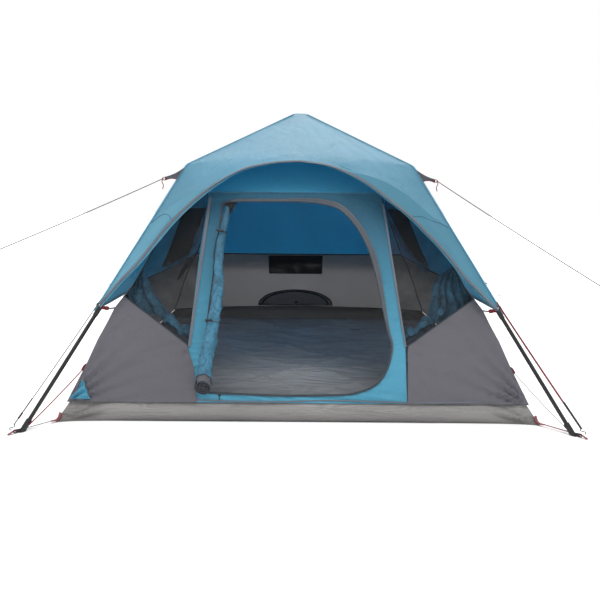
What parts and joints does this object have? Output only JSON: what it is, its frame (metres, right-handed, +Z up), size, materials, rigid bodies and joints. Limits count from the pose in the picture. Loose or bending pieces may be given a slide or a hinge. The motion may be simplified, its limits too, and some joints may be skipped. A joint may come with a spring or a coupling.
{
  "type": "pop up tent",
  "caption": "Pop up tent: folding umbrella frame of hinged arms and knee-jointed legs carrying a square inner tent, an arched fly, a groundsheet and guy lines.",
  "frame": {"origin": "middle of the square floor, on the ground", "axes": "+Z up, door towards -Y, +X to the right as seen from the door"},
  "size_m": [4.9706, 4.0118, 1.6499],
  "materials": {
    "fly_blue": "coated polyester, light sheen",
    "wall_blue": "coated polyester",
    "wall_grey": "coated polyester",
    "floor_grey": "laminated polyethylene tarpaulin",
    "mesh_black": "fine mosquito mesh",
    "tube_black": "black lacquered tube",
    "moulding_black": "moulded nylon, fine grain",
    "pin_steel": "zinc plated",
    "cord_red": "braided polyester cord",
    "button_red": "moulded"
  },
  "bodies": {
    "tent": {"groundsheet": "floor_grey", "door_frame_panel": "wall_blue", "door_roll": "wall_blue", "front_panel_left": "wall_grey", "front_panel_right": "wall_grey", "left_wall": "wall_grey", "left_window_mesh": "mesh_black", "right_wall": "wall_grey", "right_window_mesh": "mesh_black", "rear_wall": "wall_grey", "rear_window_mesh": "mesh_black", "rear_vent": "mesh_black", "inner_roof": "wall_blue", "fly": "fly_blue", "guy_line_front_left": "cord_red", "guy_line_front_right": "cord_red", "peg_rear_left": "pin_steel", "peg_rear_right": "pin_steel"},
    "hub": {"hub_body": "moulding_black", "hub_ring": "pin_steel", "hub_cap": "moulding_black"},
    "hub_button": {"release_button": "button_red"},
    "zip_slider": {"zip_slider": "pin_steel"},
    "arm_front_left": {"roof_arm_front_left": "tube_black", "shoulder_joint_front_left": "moulding_black", "shoulder_pin_front_left": "pin_steel"},
    "upper_leg_front_left": {"upper_leg_front_left": "tube_black"},
    "lower_leg_front_left": {"knee_joint_front_left": "moulding_black", "knee_pin_front_left": "pin_steel", "lower_leg_front_left": "tube_black", "foot_front_left": "moulding_black"},
    "arm_front_right": {"roof_arm_front_right": "tube_black", "shoulder_joint_front_right": "moulding_black", "shoulder_pin_front_right": "pin_steel"},
    "upper_leg_front_right": {"upper_leg_front_right": "tube_black"},
    "lower_leg_front_right": {"knee_joint_front_right": "moulding_black", "knee_pin_front_right": "pin_steel", "lower_leg_front_right": "tube_black", "foot_front_right": "moulding_black"},
    "arm_rear_left": {"roof_arm_rear_left": "tube_black", "shoulder_joint_rear_left": "moulding_black", "shoulder_pin_rear_left": "pin_steel"},
    "upper_leg_rear_left": {"upper_leg_rear_left": "tube_black"},
    "lower_leg_rear_left": {"knee_joint_rear_left": "moulding_black", "knee_pin_rear_left": "pin_steel", "lower_leg_rear_left": "tube_black", "foot_rear_left": "moulding_black"},
    "arm_rear_right": {"roof_arm_rear_right": "tube_black", "shoulder_joint_rear_right": "moulding_black", "shoulder_pin_rear_right": "pin_steel"},
    "upper_leg_rear_right": {"upper_leg_rear_right": "tube_black"},
    "lower_leg_rear_right": {"knee_joint_rear_right": "moulding_black", "knee_pin_rear_right": "pin_steel", "lower_leg_rear_right": "tube_black", "foot_rear_right": "moulding_black"},
    "guy_rear_left": {"guy_line_rear_left": "cord_red"},
    "guy_runner_rear_left": {"guy_runner_rear_left": "moulding_black"},
    "guy_rear_right": {"guy_line_rear_right": "cord_red"},
    "guy_runner_rear_right": {"guy_runner_rear_right": "moulding_black"}
  },
  "joints": [
    {"name": "frame_fold", "type": "slide", "parent": "tent", "child": "hub", "axis": [0, 0, -1], "range_m": [0, 1.5], "deforming": ["groundsheet", "door_frame_panel", "door_roll", "front_panel_left", "front_panel_right", "left_wall", "left_window_mesh", "right_wall", "right_window_mesh", "rear_wall", "rear_window_mesh", "rear_vent", "inner_roof", "fly", "guy_line_front_left", "guy_line_front_right"]},
    {"name": "button_press", "type": "slide", "parent": "hub", "child": "hub_button", "axis": [0, 0, 1], "range_m": [0, 0.005], "stiffness_N_per_m": 300, "springref_m": -0.003},
    {"name": "door_zip_slide", "type": "slide", "parent": "tent", "child": "zip_slider", "axis": [1, 0, 0], "range_m": [0, 0.62]},
    {"name": "hub_hinge_front_left", "type": "hinge", "parent": "hub", "child": "arm_front_left", "pos_m": [-0.05303, -0.05303, 1.585], "axis": [-0.7071, 0.7071, 0], "range_deg": [0, 112]},
    {"name": "shoulder_hinge_front_left", "type": "hinge", "parent": "arm_front_left", "child": "upper_leg_front_left", "pos_m": [-0.61659, -0.61659, 1.25601], "axis": [-0.7071, 0.7071, 0], "range_deg": [-149.5, 0]},
    {"name": "knee_hinge_front_left", "type": "hinge", "parent": "upper_leg_front_left", "child": "lower_leg_front_left", "pos_m": [-1.01887, -1.01887, 0.55807], "axis": [-0.7071, 0.7071, 0], "range_deg": [0, 176.5]},
    {"name": "hub_hinge_front_right", "type": "hinge", "parent": "hub", "child": "arm_front_right", "pos_m": [0.05303, -0.05303, 1.585], "axis": [-0.7071, -0.7071, 0], "range_deg": [0, 112]},
    {"name": "shoulder_hinge_front_right", "type": "hinge", "parent": "arm_front_right", "child": "upper_leg_front_right", "pos_m": [0.61659, -0.61659, 1.25601], "axis": [-0.7071, -0.7071, 0], "range_deg": [-149.5, 0]},
    {"name": "knee_hinge_front_right", "type": "hinge", "parent": "upper_leg_front_right", "child": "lower_leg_front_right", "pos_m": [1.01887, -1.01887, 0.55807], "axis": [-0.7071, -0.7071, 0], "range_deg": [0, 176.5]},
    {"name": "hub_hinge_rear_left", "type": "hinge", "parent": "hub", "child": "arm_rear_left", "pos_m": [-0.05303, 0.05303, 1.585], "axis": [0.7071, 0.7071, 0], "range_deg": [0, 112]},
    {"name": "shoulder_hinge_rear_left", "type": "hinge", "parent": "arm_rear_left", "child": "upper_leg_rear_left", "pos_m": [-0.61659, 0.61659, 1.25601], "axis": [0.7071, 0.7071, 0], "range_deg": [-149.5, 0]},
    {"name": "knee_hinge_rear_left", "type": "hinge", "parent": "upper_leg_rear_left", "child": "lower_leg_rear_left", "pos_m": [-1.01887, 1.01887, 0.55807], "axis": [0.7071, 0.7071, 0], "range_deg": [0, 176.5]},
    {"name": "hub_hinge_rear_right", "type": "hinge", "parent": "hub", "child": "arm_rear_right", "pos_m": [0.05303, 0.05303, 1.585], "axis": [0.7071, -0.7071, 0], "range_deg": [0, 112]},
    {"name": "shoulder_hinge_rear_right", "type": "hinge", "parent": "arm_rear_right", "child": "upper_leg_rear_right", "pos_m": [0.61659, 0.61659, 1.25601], "axis": [0.7071, -0.7071, 0], "range_deg": [-149.5, 0]},
    {"name": "knee_hinge_rear_right", "type": "hinge", "parent": "upper_leg_rear_right", "child": "lower_leg_rear_right", "pos_m": [1.01887, 1.01887, 0.55807], "axis": [0.7071, -0.7071, 0], "range_deg": [0, 176.5]},
    {"name": "guy_drop_rear_left", "type": "hinge", "parent": "tent", "child": "guy_rear_left", "pos_m": [-2.33, 2.5, 0.012], "axis": [0.7335, 0.6797, 0], "range_deg": [0, 26.8]},
    {"name": "runner_slide_rear_left", "type": "slide", "parent": "guy_rear_left", "child": "guy_runner_rear_left", "axis": [-0.6081, 0.6562, -0.4469], "range_m": [-1, 0.28]},
    {"name": "guy_drop_rear_right", "type": "hinge", "parent": "tent", "child": "guy_rear_right", "pos_m": [2.37, 2.5, 0.012], "axis": [0.7251, -0.6886, 0], "range_deg": [0, 26.6]},
    {"name": "runner_slide_rear_right", "type": "slide", "parent": "guy_rear_right", "child": "guy_runner_rear_right", "axis": [0.6174, 0.6502, -0.4428], "range_m": [-1, 0.28]}
  ],
  "couplings": [
    {"joint": "hub_hinge_front_left", "follows": "frame_fold", "rad_per_m": 1.2974},
    {"joint": "shoulder_hinge_front_left", "follows": "frame_fold", "rad_per_m": -1.7326},
    {"joint": "knee_hinge_front_left", "follows": "frame_fold", "rad_per_m": 2.0479},
    {"joint": "hub_hinge_front_right", "follows": "frame_fold", "rad_per_m": 1.2974},
    {"joint": "shoulder_hinge_front_right", "follows": "frame_fold", "rad_per_m": -1.7326},
    {"joint": "knee_hinge_front_right", "follows": "frame_fold", "rad_per_m": 2.0479},
    {"joint": "hub_hinge_rear_left", "follows": "frame_fold", "rad_per_m": 1.2974},
    {"joint": "shoulder_hinge_rear_left", "follows": "frame_fold", "rad_per_m": -1.7326},
    {"joint": "knee_hinge_rear_left", "follows": "frame_fold", "rad_per_m": 2.0479},
    {"joint": "hub_hinge_rear_right", "follows": "frame_fold", "rad_per_m": 1.2974},
    {"joint": "shoulder_hinge_rear_right", "follows": "frame_fold", "rad_per_m": -1.7326},
    {"joint": "knee_hinge_rear_right", "follows": "frame_fold", "rad_per_m": 2.0479},
    {"joint": "guy_drop_rear_left", "follows": "frame_fold", "rad_per_m": 0.30887},
    {"joint": "guy_drop_rear_right", "follows": "frame_fold", "rad_per_m": 0.30582}
  ]
}
